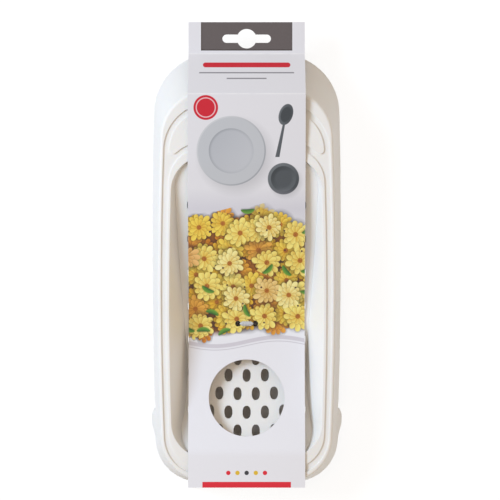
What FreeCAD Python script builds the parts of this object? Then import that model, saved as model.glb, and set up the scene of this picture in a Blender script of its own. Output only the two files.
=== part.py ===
import FreeCAD, Part
import math
import os
from FreeCAD import Placement, Rotation, Vector

# A spaetzle grater: a long tray with a bowed, oval-holed floor that lies across a pot, packed with
# its dough scraper in a folded card sleeve. Millimetres. X runs across the tray, +Y towards the
# near (hand) end and the sleeve's hang tab, +Z up. The origin is under the middle of the pack.
# Shapes are drawn about the middle of the grater's base and then shifted along Y as one pack.

doc = FreeCAD.newDocument("spaetzle_grater")
sheet = doc.addObject("Spreadsheet::Sheet", "Sizes")
SIZES = [
    # grater: footprint, rim and height
    ("base_length", 289.8, "footprint of the skirt along Y"),
    ("base_width", 127.0, "footprint of the skirt across X"),
    ("near_slope_run", 28.0, "how far the near end wall leans inwards"),
    ("far_slope_run", 4.0, "how far the far end wall leans inwards"),
    ("side_slope_run", 5.6, "how far each side wall leans inwards"),
    ("near_rim_height", 50.0, "top of the rim at the near end"),
    ("far_rim_height", 38.0, "top of the rim at the far end"),
    ("base_lift", 0.6, "skirt edge above the table, room for the card below"),
    ("skirt_wall", 2.0, "thickness of the skirt"),
    ("deck_wall", 2.3, "thickness of the flat rim deck"),
    ("rim_round", 1.3, "rounding of the rim's outer top edge"),
    ("base_bow", 4500.0, "radius of the slightly bowed long sides, at the base"),
    ("side_bow", 2500.0, "radius of the slightly bowed long sides, at the rim"),
    ("end_bow", 350.0, "radius of the bowed ends"),
    ("base_corner_near", 40.0, "base corner radius at the near end"),
    ("base_corner_far", 28.0, "base corner radius at the far end"),
    ("rim_corner_near", 31.0, "rim corner radius at the near end"),
    ("rim_corner_far", 30.0, "rim corner radius at the far end"),
    # shallow channel in the rim, and the raised crest inside it at the near end
    ("ledge_side", 1.9, "rim strip outside the channel, at the sides"),
    ("ledge_near", 8.0, "rim strip outside the channel, at the near end"),
    ("ledge_far", 3.9, "rim strip outside the channel, at the far end"),
    ("channel_width", 3.9, "width of the channel round the crest"),
    ("channel_depth", 0.9, "depth of the channel"),
    ("crest_corner", 2.6, "rounding of the crest's two horns"),
    # tray opening and its ridge
    ("side_deck", 7.3, "rim deck beside the tray opening"),
    ("near_deck", 42.3, "rim deck between the opening and the rim's near end"),
    ("far_deck", 15.8, "rim deck between the opening and the rim's far end"),
    ("opening_corner", 23.0, "corner radius of the tray opening"),
    ("ridge_side", 1.5, "ridge beside the opening, at the sides"),
    ("ridge_near", 5.5, "ridge beside the opening, at the near end"),
    ("ridge_far", 7.3, "ridge beside the opening, at the far end"),
    ("wall_lean", 0.5, "how far a tray side wall leans in per unit of depth"),
    ("tray_wall", 2.0, "thickness of the tray walls"),
    # bowed floor: a straight ramp from the near end, then an arc up to the far end
    ("floor_drop", 1.7, "step from the rim deck to the floor at the near end"),
    ("floor_low", 19.5, "top of the floor at its lowest line"),
    ("floor_low_at", 57.5, "lowest line of the floor, from the opening's far end"),
    ("floor_radius", 90.0, "radius of the floor's far part"),
    ("floor_wall", 2.0, "thickness of the floor"),
    # staggered oval holes
    ("hole_width", 5.35, "hole across X"),
    ("hole_length", 8.4, "hole along Y"),
    ("hole_power", 2.3, "outline of a hole: 2 is an ellipse, more is squarer"),
    ("hole_sides", 12.0, "flat faces round a hole"),
    ("hole_edge", 3.4, "outermost hole's centre from the floor's edge, at its lowest line"),
    ("ramp_row_pitch", 11.07, "rows on the ramp"),
    ("arc_row_pitch", 12.1, "rows on the far arc"),
    ("middle_row_at", 2.4, "row where both pitches start, from the floor's lowest line"),
    ("near_row_gap", 11.0, "least distance from the last row to the opening's near end"),
    ("far_row_gap", 18.0, "least distance from the first row to the opening's far end"),
    ("row_arch", 1.9, "how far the outermost holes sit towards the near end"),
    ("wide_columns", 7.0, "holes in a wide row"),
    # pot hooks and the skirt's lower edge
    ("edge_rise", 8.5, "skirt edge above the table near the hooks"),
    ("edge_rise_start", 75.0, "where the skirt edge starts to rise, from the near end"),
    ("hook_back", 51.0, "stop face of the hook, from the far end"),
    ("hook_tip", 9.0, "length of the hook's flat tip"),
    ("hook_root", 24.0, "length of the hook at its root"),
    ("hook_throat", 2.4, "radius of the throat that takes a pot's rim"),
    ("lug_out", 1.4, "how far the hook's lug stands out of the skirt"),
    ("lug_ramp", 4.0, "length over which the lug rises, from the hook's stop face"),
    ("lug_flat", 7.0, "length of the lug's flat part"),
    ("lug_fade", 8.5, "length over which the lug fades, towards the far end"),
    ("lug_height", 24.0, "height above the table where the lug ends in the skirt"),
    ("lug_root", 0.3, "how deep the lug's edges start inside the skirt's wall"),
    # scraper
    ("scraper_edge", 78.0, "width of the working edge"),
    ("grip_end_width", 90.0, "width at the grip end"),
    ("scraper_length", 70.0, "from the working edge to the grip end"),
    ("scraper_blade", 2.0, "thickness of the blade"),
    ("scraper_corner", 17.0, "corner radius at the grip end"),
    ("scraper_bevel", 1.2, "height of the bevel at the working edge"),
    ("bevel_run", 4.8, "depth of the bevel, from the working edge inwards"),
    ("grip_height", 6.5, "height of the grip bead"),
    ("grip_width", 9.0, "width of the grip bead"),
    ("grip_inset", 5.0, "grip bead from the grip end"),
    ("grip_chamfer", 1.5, "chamfer at the grip bead's ends"),
    ("scraper_at", 8.0, "near the base's middle: where the scraper's grip end lies"),
    ("scraper_rest", 0.3, "scraper above the card it lies on"),
    # card sleeve
    ("card_side_gap", 2.8, "card's edge to the tray wall, where the tie pulls the card down"),
    ("card_thickness", 0.5, "thickness of the card"),
    ("card_ease", 0.15, "slack between the card and the rim, floor and tie"),
    ("end_slack", 1.7, "slack between the card and the skirt at the far end"),
    ("ply_gap", 0.1, "gap between card plies, and at an opened crease"),
    ("crease_round", 0.8, "inner bend of a sharp crease, at mid thickness"),
    ("tab_level", 28.2, "underside of the hang tab"),
    ("tab_reach", 18.5, "hang tab from its crease to its end"),
    ("riser_ease", 0.75, "slack between the skirt's foot and the riser"),
    ("riser_lean", 1.8, "how far the riser leans towards the grater"),
    ("foot_in", 2.4, "front ply's crease from the back ply's, towards the grater"),
    ("rim_crease_in", 3.2, "crease beyond the rim's near edge, towards the opening"),
    ("rim_crease_round", 1.5, "bend of that crease, at mid thickness"),
    ("corner_bridge", 5.0, "the card stays at rim level this far past the opening's ends, over its corners"),
    ("dip_start_round", 60.0, "bend where the card leaves the rim"),
    ("dip_bulge", 4.6, "card above the floor, halfway between the opening and the tie"),
    ("dip_bulge_round", 150.0, "bend halfway between the opening and the tie"),
    ("tie_dip_round", 30.0, "bend where the tie pulls the card down"),
    ("window_rise", 9.4, "card above the floor's lowest line, at the window"),
    ("window_round", 120.0, "bend across the window"),
    ("far_rim_round", 12.0, "bend over the tray opening's far edge"),
    ("notch_width", 60.2, "open notch in the front ply of the tab"),
    ("notch_margin", 2.1, "front ply between its crease and the notch"),
    ("euro_width", 32.0, "euro slot, overall width"),
    ("euro_circle", 12.9, "euro slot, diameter of its middle"),
    ("euro_height", 5.5, "euro slot, height of its arms"),
    ("euro_margin", 10.9, "euro slot's centre from the tab's end"),
    ("window_diameter", 50.0, "round window in the front panel"),
    ("window_at", 59.9, "window's centre, from the base's far end"),
    # tie
    ("tie_row", 3.0, "row of holes that the tie goes through, counted from the middle row"),
    ("tie_offset", 1.3, "tie from the middle of its holes, towards the near end"),
    ("tie_width", 1.2, "width of the tie"),
    ("tie_thickness", 0.5, "thickness of the tie"),
    ("tie_round", 0.4, "rounding where the strap turns down into its legs"),
    ("tie_ease", 0.7, "tie's legs to the inner edges of their holes"),
    ("tie_leg", 4.7, "length of the legs below the strap"),
    ("punch_diameter", 3.8, "punched holes in the card"),
    ("punch_out", 1.15, "punched holes' centres outside the tie's legs"),
]
for row, (alias, value, note) in enumerate(SIZES, start=1):
    sheet.set("A%d" % row, note)
    sheet.set("B%d" % row, repr(value))
    sheet.setAlias("B%d" % row, alias)
doc.recompute()


def mm(alias):
    return float(getattr(sheet, alias))


# ---------------------------------------------------------------- outlines

class Outline:
    """A rounded rectangle with slightly bowed sides and ends, seen from above."""

    def __init__(self, half, near, far, corner_near, corner_far, bow, side):
        self.half = half
        self.near = near
        self.far = far
        self.corner_near = corner_near
        self.corner_far = corner_far
        self.bow = bow
        self.side = side

    def values(self):
        return (self.half, self.near, self.far, self.corner_near, self.corner_far, self.bow, self.side)

    def inset(self, gap):
        """The parallel outline that lies gap further in, or further out if gap is negative."""
        return Outline(self.half - gap, self.near - gap, self.far + gap, self.corner_near - gap,
                       self.corner_far - gap, self.bow - gap, self.side - gap)

    def mix(self, other, share):
        """The outline between this one (share 0) and the other (share 1)."""
        pairs = zip(self.values(), other.values())
        return Outline(*[a + (b - a) * share for a, b in pairs])

    def arcs(self):
        """Eight tangent arcs, from the near end round by +X."""
        middle = (self.near + self.far) / 2
        side_centre = Vector(self.half - self.side, middle, 0)
        right = []
        for end, sign, corner in ((self.near, 1, self.corner_near), (self.far, -1, self.corner_far)):
            end_centre = Vector(0, end - sign * self.bow, 0)
            centre = corner_centre(side_centre, self.side - corner, end_centre, self.bow - corner, sign)
            on_end = centre + (centre - end_centre).normalize() * corner
            on_side = centre + (centre - side_centre).normalize() * corner
            bulge = centre + ((on_end + on_side) * 0.5 - centre).normalize() * corner
            right.append((on_end, bulge, on_side))
        near, far = right
        tips = (Vector(0, self.near, 0), Vector(self.half, middle, 0), Vector(0, self.far, 0))
        return [
            Part.Arc(mirrored(near[0]), tips[0], near[0]),
            Part.Arc(near[0], near[1], near[2]),
            Part.Arc(near[2], tips[1], far[2]),
            Part.Arc(far[2], far[1], far[0]),
            Part.Arc(far[0], tips[2], mirrored(far[0])),
            Part.Arc(mirrored(far[0]), mirrored(far[1]), mirrored(far[2])),
            Part.Arc(mirrored(far[2]), mirrored(tips[1]), mirrored(near[2])),
            Part.Arc(mirrored(near[2]), mirrored(near[1]), mirrored(near[0])),
        ]


def mirrored(point):
    return Vector(-point.x, point.y, point.z)


def corner_centre(centre_a, radius_a, centre_b, radius_b, sign):
    """Where two circles cross, on the +X side and towards the end that sign names."""
    across = centre_b - centre_a
    span = across.Length
    along = (radius_a ** 2 - radius_b ** 2 + span ** 2) / (2 * span)
    height = math.sqrt(radius_a ** 2 - along ** 2)
    foot = centre_a + across * (along / span)
    normal = Vector(-across.y, across.x, 0) * (height / span)
    return max((foot + normal, foot - normal), key=lambda point: point.x + sign * point.y)


# ---------------------------------------------------------------- document helpers

def sketch(name, geometry, placement):
    drawing = doc.addObject("Sketcher::SketchObject", name)
    for curve in geometry:
        drawing.addGeometry(curve, False)
    drawing.Placement = placement
    return drawing


def polygon(points):
    """Closed straight outline in a sketch's own plane."""
    corners = [Vector(x, y, 0) for x, y in points]
    return [Part.LineSegment(a, b) for a, b in zip(corners, corners[1:] + corners[:1])]


def loft(name, sections):
    body = doc.addObject("Part::Loft", name)
    body.Sections = sections
    body.Solid = True
    body.Ruled = True
    return body


def extrusion(name, drawing, length, both_ways=False):
    """Pads a sketch along its normal. The length is an expression on the sheet."""
    body = doc.addObject("Part::Extrusion", name)
    body.Base = drawing
    body.DirMode = "Normal"
    body.Solid = True
    body.Symmetric = both_ways
    body.setExpression("LengthFwd", length)
    return body


def cut(name, base, tool):
    result = doc.addObject("Part::Cut", name)
    result.Base = base
    result.Tool = tool
    return result


def fuse(name, shapes):
    result = doc.addObject("Part::MultiFuse", name)
    result.Shapes = shapes
    result.Refine = True
    return result


def common(name, first, second):
    result = doc.addObject("Part::Common", name)
    result.Base = first
    result.Tool = second
    return result


def cylinder(name, diameter, height, x, y, z):
    """An upright cylinder. The sizes and the place of its foot are expressions on the sheet."""
    body = doc.addObject("Part::Cylinder", name)
    body.setExpression("Radius", "(%s) / 2" % diameter)
    body.setExpression("Height", height)
    for axis, place in zip("xyz", (x, y, z)):
        body.setExpression("Placement.Base.%s" % axis, place)
    return body


def box(name, sizes, corner):
    body = doc.addObject("Part::Box", name)
    for side, value in zip(("Length", "Width", "Height"), sizes):
        body.setExpression(side, value)
    for axis, place in zip("xyz", corner):
        body.setExpression("Placement.Base.%s" % axis, place)
    return body


def rounded(name, base, radius, chosen):
    """Fillets those edges of base for which chosen(edge) is true."""
    doc.recompute()
    result = doc.addObject("Part::Fillet", name)
    result.Base = base
    picked = [i for i, edge in enumerate(base.Shape.Edges, start=1) if chosen(edge)]
    result.Edges = [(i, radius, radius) for i in picked]
    return result


CLOSE = 1e-3
LEVEL = Rotation()
SIDEWAYS = Rotation(Vector(0, 1, 0), Vector(0, 0, 1), Vector(1, 0, 0), "ZXY")

# ---------------------------------------------------------------- grater: rim plane and outlines

half_base = mm("base_length") / 2
rim_near = half_base - mm("near_slope_run")
rim_far = -half_base + mm("far_slope_run")
rim_slope = (mm("near_rim_height") - mm("far_rim_height")) / (rim_near - rim_far)
rim_tilt = Rotation(Vector(1, 0, 0), math.degrees(math.atan(rim_slope)))


def rim_height(y):
    return mm("far_rim_height") + rim_slope * (y - rim_far)


def on_rim_plane(depth):
    """The tilted plane of the rim's top, or the one that lies depth below it."""
    shift = rim_tilt.multVec(Vector(0, 0, -depth))
    return Placement(Vector(0, 0, rim_height(0)) + shift, rim_tilt)


base_outline = Outline(mm("base_width") / 2, half_base, -half_base, mm("base_corner_near"),
                       mm("base_corner_far"), mm("end_bow"), mm("base_bow"))
rim_outline = Outline(mm("base_width") / 2 - mm("side_slope_run"), rim_near, rim_far,
                      mm("rim_corner_near"), mm("rim_corner_far"), mm("end_bow"), mm("side_bow"))
channel_outline = Outline(rim_outline.half - mm("ledge_side"), rim_near - mm("ledge_near"),
                          rim_far + mm("ledge_far"), rim_outline.corner_near,
                          rim_outline.corner_far - mm("ledge_far"), mm("end_bow"), mm("side_bow"))
opening_far = rim_far + mm("far_deck")
opening_near = rim_near - mm("near_deck")
opening_outline = Outline(rim_outline.half - mm("side_deck"), opening_near, opening_far,
                          mm("opening_corner"), mm("opening_corner"), mm("end_bow"), mm("side_bow"))
ridge_outline = Outline(opening_outline.half + mm("ridge_side"), opening_near + mm("ridge_near"),
                        opening_far - mm("ridge_far"), opening_outline.corner_near,
                        opening_outline.corner_far, mm("end_bow"), mm("side_bow"))

# ---------------------------------------------------------------- grater: skirt and deck

lift = Placement(Vector(0, 0, mm("base_lift")), LEVEL)
mean_rim = (mm("near_rim_height") + mm("far_rim_height")) / 2
ROUND_STEPS = 3


def skirt_section(depth):
    """The skirt's outline where it is depth below the rim."""
    return base_outline.mix(rim_outline, 1 - depth / mean_rim)


def skirt_ring(step):
    """One of the sections that round the rim's outer edge, from upright (0) to level."""
    swing = math.pi / 2 * step / ROUND_STEPS
    depth = mm("rim_round") * (1 - math.sin(swing))
    outline = skirt_section(depth).inset(mm("rim_round") * (1 - math.cos(swing)))
    return sketch("RimRing%d" % step, outline.arcs(), on_rim_plane(depth))


skirt_block = loft("SkirtBlock", [sketch("BaseOutline", base_outline.arcs(), lift)]
                   + [skirt_ring(step) for step in range(ROUND_STEPS + 1)])
deck_inner = skirt_section(mm("deck_wall")).inset(mm("skirt_wall"))
skirt_inner = loft("SkirtInner", [
    sketch("BaseInner", base_outline.inset(mm("skirt_wall")).arcs(), lift),
    sketch("DeckInner", deck_inner.arcs(), on_rim_plane(mm("deck_wall"))),
])
skirt_shell = cut("SkirtShell", skirt_block, skirt_inner)

# ---------------------------------------------------------------- grater: tray walls and bowed floor

low_line = opening_far + mm("floor_low_at")
TRAY_TOP = 4.0
TRAY_DEPTH = mm("near_rim_height") - mm("floor_low")


def tray_prism(name, outline):
    """The tray's side walls lean in with depth, its ends drop straight."""
    sections = []
    for depth in (-TRAY_TOP, TRAY_DEPTH):
        section = outline.inset(0)
        section.half = outline.half - mm("wall_lean") * depth
        title = "%s%s" % (name, "Top" if depth < 0 else "Foot")
        sections.append(sketch(title, section.arcs(), on_rim_plane(depth)))
    return loft(name, sections)


def floor_line(drop):
    """Side view of the floor, drop below its top face: ramp end, tangent point, low point, far end."""
    radius = mm("floor_radius") + drop
    centre = (low_line, mm("floor_low") + mm("floor_radius"))
    start = (opening_near, rim_height(opening_near) - mm("floor_drop"))
    reach_y = start[0] - centre[0]
    reach_z = start[1] - centre[1]
    span = math.hypot(reach_y, reach_z)
    slope = math.asin(mm("floor_radius") / span) + math.atan2(reach_z, reach_y)
    return centre, radius, slope, start


def floor_profile(drop):
    """Closed outline, in the YZ plane, of all that lies above the floor's face at this drop."""
    centre, radius, slope, start = floor_line(drop)
    tangent = (centre[0] + radius * math.sin(slope), centre[1] - radius * math.cos(slope))
    past = TRAY_DEPTH / math.cos(slope)
    ramp_end = (start[0] + past * math.cos(slope) + drop * math.sin(slope),
                start[1] + past * math.sin(slope) - drop * math.cos(slope))
    far_swing = math.asin((mm("floor_low_at") + TRAY_TOP) / mm("floor_radius"))
    arc_end = (centre[0] - radius * math.sin(far_swing), centre[1] - radius * math.cos(far_swing))
    arc_middle = (centre[0] + radius * math.sin((slope - far_swing) / 2),
                  centre[1] - radius * math.cos((slope - far_swing) / 2))
    top = centre[1]
    corners = (ramp_end, tangent, arc_end, (arc_end[0], top), (ramp_end[0], top))
    points = [Vector(y, z, 0) for y, z in corners]
    return [
        Part.LineSegment(points[0], points[1]),
        Part.Arc(points[1], Vector(arc_middle[0], arc_middle[1], 0), points[2]),
        Part.LineSegment(points[2], points[3]),
        Part.LineSegment(points[3], points[4]),
        Part.LineSegment(points[4], points[0]),
    ]


upright = Placement(Vector(0, 0, 0), SIDEWAYS)
floor_top_line = sketch("FloorTopLine", floor_profile(0), upright)
floor_under_line = sketch("FloorUnderLine", floor_profile(mm("floor_wall")), upright)
above_floor = extrusion("AboveFloor", floor_top_line, "Sizes.base_width", both_ways=True)
above_under = extrusion("AboveUnderside", floor_under_line, "Sizes.base_width", both_ways=True)
tray_hollow = tray_prism("TrayHollow", opening_outline)
tray_solid = tray_prism("TraySolid", opening_outline.inset(-mm("tray_wall")))
wide, long = mm("base_width"), mm("base_length")
all_round = sketch("AllRound", polygon([(wide, long), (-wide, long), (-wide, -long), (wide, -long)]),
                   on_rim_plane(2 * mm("near_rim_height")))
below_rim = extrusion("BelowRimPlane", all_round, "Sizes.near_rim_height * 2")
tray_block = common("TrayBlock", tray_solid, above_under)
tray_capped = common("TrayBlockToRim", tray_block, below_rim)
tray_core = common("TrayCore", tray_hollow, above_under)

# ---------------------------------------------------------------- grater: channel, crest, skirt edge

depth_cell = "Sizes.channel_depth + %s" % TRAY_TOP
crest_outline = channel_outline.inset(mm("channel_width"))
crest_gap_outline = ridge_outline.inset(-mm("channel_width"))


def channel_block(name, outline):
    """Stands on the channel's floor and reaches out of the rim's top."""
    drawing = sketch(name + "Outline", outline.arcs(), on_rim_plane(mm("channel_depth")))
    return extrusion(name, drawing, depth_cell)


channel_pad = channel_block("Channel", channel_outline)
ridge_pad = channel_block("Ridge", ridge_outline)
crest = cut("Crest", channel_block("CrestPad", crest_outline), channel_block("CrestGap", crest_gap_outline))


def is_crest_horn(edge):
    """True for the two upright edges where the crest's outer and inner arcs meet."""
    box_of_crest = crest.Shape.BoundBox
    box_of_edge = edge.BoundBox
    upright_edge = box_of_edge.ZLength > mm("channel_depth") and box_of_edge.XLength < CLOSE
    return upright_edge and box_of_edge.YMin < box_of_crest.YMin + CLOSE


crest_round = rounded("CrestRounded", crest, mm("crest_corner"), is_crest_horn)
channel_ring = cut("ChannelRing", channel_pad, ridge_pad)
channel_cut = cut("ChannelCut", channel_ring, crest_round)

hook_face = -half_base + mm("hook_back")
rise_from = half_base - mm("edge_rise_start")
throat = mm("hook_throat")
hook_end = hook_face - mm("hook_root")
edge_level = mm("base_lift") + mm("edge_rise")
under = -mm("near_rim_height")
edge_points = [
    (rise_from, under), (rise_from, mm("base_lift")),
    (hook_face + 2 * throat, edge_level), (hook_face, edge_level), (hook_face, mm("base_lift")),
    (hook_face - mm("hook_tip"), mm("base_lift")), (hook_end, edge_level),
    (-half_base - throat, edge_level), (-half_base - throat, under),
]
edge_cut = extrusion("SkirtEdgeCut", sketch("SkirtEdge", polygon(edge_points), upright),
                     "Sizes.base_width * 2", both_ways=True)
throat_circle = Part.Circle(Vector(hook_face + throat, edge_level, 0), Vector(0, 0, 1), throat)
throat_cut = extrusion("HookThroatCut", sketch("HookThroat", [throat_circle], upright),
                       "Sizes.base_width * 2", both_ways=True)


def side_at(outline, y):
    """Half the width of an outline between its bowed sides, at y."""
    middle = (outline.near + outline.far) / 2
    return outline.half - outline.side + math.sqrt(outline.side ** 2 - (y - middle) ** 2)


def lug_section(name, side, height, out):
    """A hook's lug from above: it stands out of the skirt by out between its two slopes."""
    share = (height - mm("base_lift")) / (rim_height(hook_face) - mm("base_lift"))
    outline = base_outline.mix(rim_outline, share)
    stops = [hook_face]
    for run in ("lug_ramp", "lug_flat", "lug_fade"):
        stops.append(stops[-1] - mm(run))
    sunk = -mm("lug_root")
    points = [(side * (side_at(outline, y) + gap), y) for y, gap in zip(stops, (sunk, out, out, sunk))]
    for y in (stops[-1], stops[0]):
        points.append((side * (side_at(outline, y) - mm("skirt_wall") / 2), y))
    return sketch(name, polygon(points), Placement(Vector(0, 0, height), LEVEL))


lugs = [
    loft("Lug" + title, [
        lug_section("LugFoot" + title, side, mm("base_lift"), mm("lug_out")),
        lug_section("LugTop" + title, side, mm("lug_height"), -mm("lug_root")),
    ])
    for title, side in (("Left", -1), ("Right", 1))
]
frame_walls = fuse("FrameWalls", [skirt_shell, tray_capped] + lugs)
frame_open = cut("FrameOpen", frame_walls, tray_core)
frame_channel = cut("FrameChannel", frame_open, channel_cut)
frame_edge = cut("FrameEdge", frame_channel, edge_cut)
tray_frame = cut("TrayFrame", frame_edge, throat_cut)

# ---------------------------------------------------------------- grater: floor with its holes

floor_core = common("FloorCore", tray_core, below_rim)
floor_slab = cut("FloorSlab", floor_core, above_floor)

middle_row = low_line - mm("middle_row_at")
narrowest = opening_outline.half - mm("wall_lean") * (rim_height(low_line) - mm("floor_low"))
outermost = narrowest - mm("hole_edge")
column_pitch = outermost / ((mm("wide_columns") - 1) / 2)


def row_at(step):
    """A row's place along Y, counted from the middle row: up the ramp, or down the far arc."""
    pitch = mm("ramp_row_pitch") if step > 0 else mm("arc_row_pitch")
    return middle_row + step * pitch


def hole_centre(x, step):
    """Rows are arched a little towards the near end at their sides."""
    return Vector(x, row_at(step) + mm("row_arch") * ((x / outermost) ** 2 - 0.5), 0)


def oval(centre):
    """A squared ellipse drawn as a polygon, with a flat face at each side and end."""
    count = int(mm("hole_sides"))
    power = 2 / mm("hole_power")
    widest = math.cos(math.pi / count) ** power

    def reach(size, share):
        return size / 2 / widest * math.copysign(abs(share) ** power, share)

    turns = [math.pi * (2 * i + 1) / count for i in range(count)]
    return polygon([(centre.x + reach(mm("hole_width"), math.cos(turn)),
                     centre.y + reach(mm("hole_length"), math.sin(turn))) for turn in turns])


def hole_ovals():
    """Wide rows take turns with rows of one hole less. The row at the near corners has two less."""
    last_up = int((opening_near - mm("near_row_gap") - middle_row) / mm("ramp_row_pitch"))
    last_down = int((middle_row - opening_far - mm("far_row_gap")) / mm("arc_row_pitch"))
    curves = []
    for step in range(-last_down, last_up + 1):
        count = int(mm("wide_columns")) - step % 2 - (2 if step == last_up else 0)
        for column in range(count):
            curves += oval(hole_centre((column - (count - 1) / 2) * column_pitch, step))
    return curves


hole_punch = extrusion("HolePunch", sketch("HoleField", hole_ovals(), Placement()), "Sizes.near_rim_height")
hole_plate = cut("HolePlate", floor_slab, hole_punch)

# ---------------------------------------------------------------- card sleeve


def strip(points, bends, thickness):
    """Closed side view of a bent card: mid-thickness points, and the bend's radius at each inner one."""
    inner, outer = [], []
    nodes = [Vector(y, z, 0) for y, z in points]
    for side, edge in ((-thickness / 2, inner), (thickness / 2, outer)):
        first_way = (nodes[1] - nodes[0]).normalize()
        cursor = nodes[0] + Vector(-first_way.y, first_way.x, 0) * side
        for i in range(1, len(nodes) - 1):
            way_in = (nodes[i] - nodes[i - 1]).normalize()
            way_out = (nodes[i + 1] - nodes[i]).normalize()
            turn = math.atan2(way_in.cross(way_out).z, way_in.dot(way_out))
            setback = bends[i - 1] * math.tan(abs(turn) / 2)
            start = nodes[i] - way_in * setback
            end = nodes[i] + way_out * setback
            to_centre = Vector(-way_in.y, way_in.x, 0) * math.copysign(bends[i - 1], turn)
            centre = start + to_centre
            radius = bends[i - 1] - math.copysign(1, turn) * side
            on_start = centre + (start - centre).normalize() * radius
            on_end = centre + (end - centre).normalize() * radius
            on_middle = centre + ((start + end) * 0.5 - centre).normalize() * radius
            edge.append(Part.LineSegment(cursor, on_start))
            edge.append(Part.Arc(on_start, on_middle, on_end))
            cursor = on_end
        last_way = (nodes[-1] - nodes[-2]).normalize()
        edge.append(Part.LineSegment(cursor, nodes[-1] + Vector(-last_way.y, last_way.x, 0) * side))
    caps = [
        Part.LineSegment(inner[-1].EndPoint, outer[-1].EndPoint),
        Part.LineSegment(outer[0].StartPoint, inner[0].StartPoint),
    ]
    return inner + [caps[0]] + outer + [caps[1]]


ply = mm("card_thickness")
back_ply = ply / 2
near_fold = half_base + mm("riser_ease") + ply / 2
far_fold = -half_base - mm("end_slack") - ply / 2
tab_root = near_fold - mm("riser_lean")
tab_end = tab_root + mm("tab_reach")
tab_ply = mm("tab_level") + ply / 2
front_tab_ply = tab_ply + ply + mm("ply_gap")
tie_hole = hole_centre(column_pitch / 2, int(mm("tie_row")))
tie_y = tie_hole.y + mm("tie_offset")


def floor_top(y):
    """Height of the floor's upper face on the ramp."""
    centre, radius, slope, start = floor_line(0)
    return start[1] - (start[0] - y) * math.tan(slope)


over_card = ply / 2 + mm("card_ease")
depth_at_tie = rim_height(tie_y) - floor_top(tie_y)
room_at_tie = opening_outline.half - mm("wall_lean") * depth_at_tie


def card(name, points, bends):
    side_view = sketch(name + "SideView", strip(points, bends, ply), upright)
    return extrusion(name, side_view, "(%f - Sizes.card_side_gap) * 2" % room_at_tie, both_ways=True)


bridge_near = opening_near - mm("corner_bridge")
bridge_far = opening_far + mm("corner_bridge")
halfway_y = (bridge_near + tie_y) / 2
far_crease = (rim_far - mm("end_slack") - ply, rim_height(rim_far) + over_card + ply)
back_card = card("BackCard", [
    (far_fold, back_ply), (near_fold, back_ply), (tab_root, tab_ply), (tab_end, tab_ply),
], [mm("crease_round"), mm("crease_round")])
end_card = card("EndCard", [
    (far_fold, ply + mm("ply_gap")), (far_crease[0], far_crease[1] - ply / 2 - mm("ply_gap")),
], [])

window_y = mm("window_at") - half_base
slope_foot = (tab_root - mm("foot_in"), front_tab_ply)
over_rim = mm("near_rim_height") + over_card + ply
panel_slope = (over_rim - slope_foot[1]) / (slope_foot[0] - rim_near)
front_points = [
    (tab_end, front_tab_ply),
    slope_foot,
    (rim_near - mm("rim_crease_in"), over_rim + panel_slope * mm("rim_crease_in")),
    (bridge_near, rim_height(bridge_near) + over_card + ply),
    (halfway_y, floor_top(halfway_y) + mm("dip_bulge")),
    (tie_y, floor_top(tie_y) + over_card),
    (window_y, mm("floor_low") + mm("window_rise")),
    (bridge_far, rim_height(bridge_far) + over_card + ply),
    (far_crease[0] - ply / 2, far_crease[1]),
]
front_bends = [mm(bend) for bend in ("crease_round", "rim_crease_round", "dip_start_round", "dip_bulge_round",
                                     "tie_dip_round", "window_round", "far_rim_round")]
front_card = card("FrontCard", front_points, front_bends)

full_height = "Sizes.near_rim_height * 2"
window = cylinder("Window", "Sizes.window_diameter", full_height, "0", "%f" % window_y, "0")
notch = box("TabNotch", ("Sizes.notch_width", "Sizes.tab_reach * 2", full_height),
            ("-Sizes.notch_width / 2", "%f + Sizes.notch_margin" % slope_foot[0], "0"))
inner_half = column_pitch / 2 - mm("hole_width") / 2 + mm("tie_ease")
tie_half = inner_half + mm("tie_thickness")
punches = [
    cylinder("Punch" + side, "Sizes.punch_diameter", full_height,
             "%s(%f + Sizes.punch_out)" % (sign, tie_half), "%f" % tie_y, "0")
    for side, sign in (("Left", "-"), ("Right", ""))
]
front_openings = fuse("FrontOpenings", [window, notch] + punches)
front_panel = cut("FrontPanel", front_card, front_openings)

slot_y = "%f - Sizes.euro_margin" % tab_end
arm = "(Sizes.euro_width - Sizes.euro_height)"
euro_middle = cylinder("EuroMiddle", "Sizes.euro_circle", full_height, "0", slot_y, "0")
euro_arms = box("EuroArms", (arm, "Sizes.euro_height", full_height),
                ("-%s / 2" % arm, slot_y + " - Sizes.euro_height / 2", "0"))
euro_ends = [
    cylinder("EuroEnd" + side, "Sizes.euro_height", full_height, "%s%s / 2" % (sign, arm), slot_y, "0")
    for side, sign in (("Left", "-"), ("Right", ""))
]
euro_slot = fuse("EuroSlot", [euro_middle, euro_arms] + euro_ends)
back_panel = cut("BackPanel", back_card, euro_slot)

# ---------------------------------------------------------------- tie


def dip_rise():
    """How far the bent card stays above the corner point at the tie."""
    before, corner, after = [Vector(y, z, 0) for y, z in front_points[4:7]]
    turn = (corner - before).getAngle(after - corner)
    return mm("tie_dip_round") * (1 / math.cos(turn / 2) - 1)


strap_foot = floor_top(tie_y) + over_card + dip_rise() + ply / 2 + mm("card_ease")
tie_top = strap_foot + mm("tie_thickness")
leg_foot = strap_foot - mm("tie_leg")
tie_view = polygon([
    (-tie_half, leg_foot), (-tie_half, tie_top), (tie_half, tie_top), (tie_half, leg_foot),
    (inner_half, leg_foot), (inner_half, strap_foot), (-inner_half, strap_foot), (-inner_half, leg_foot),
])
facing = Placement(Vector(0, tie_y, 0), Rotation(Vector(1, 0, 0), 90))
tie_bent = extrusion("TieBent", sketch("TieView", tie_view, facing), "Sizes.tie_width", both_ways=True)


def is_tie_shoulder(edge):
    """True for the outer edges where the strap turns down into its legs."""
    middle = edge.CenterOfMass
    return abs(abs(middle.x) - tie_half) < CLOSE and abs(middle.z - tie_top) < CLOSE


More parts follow.
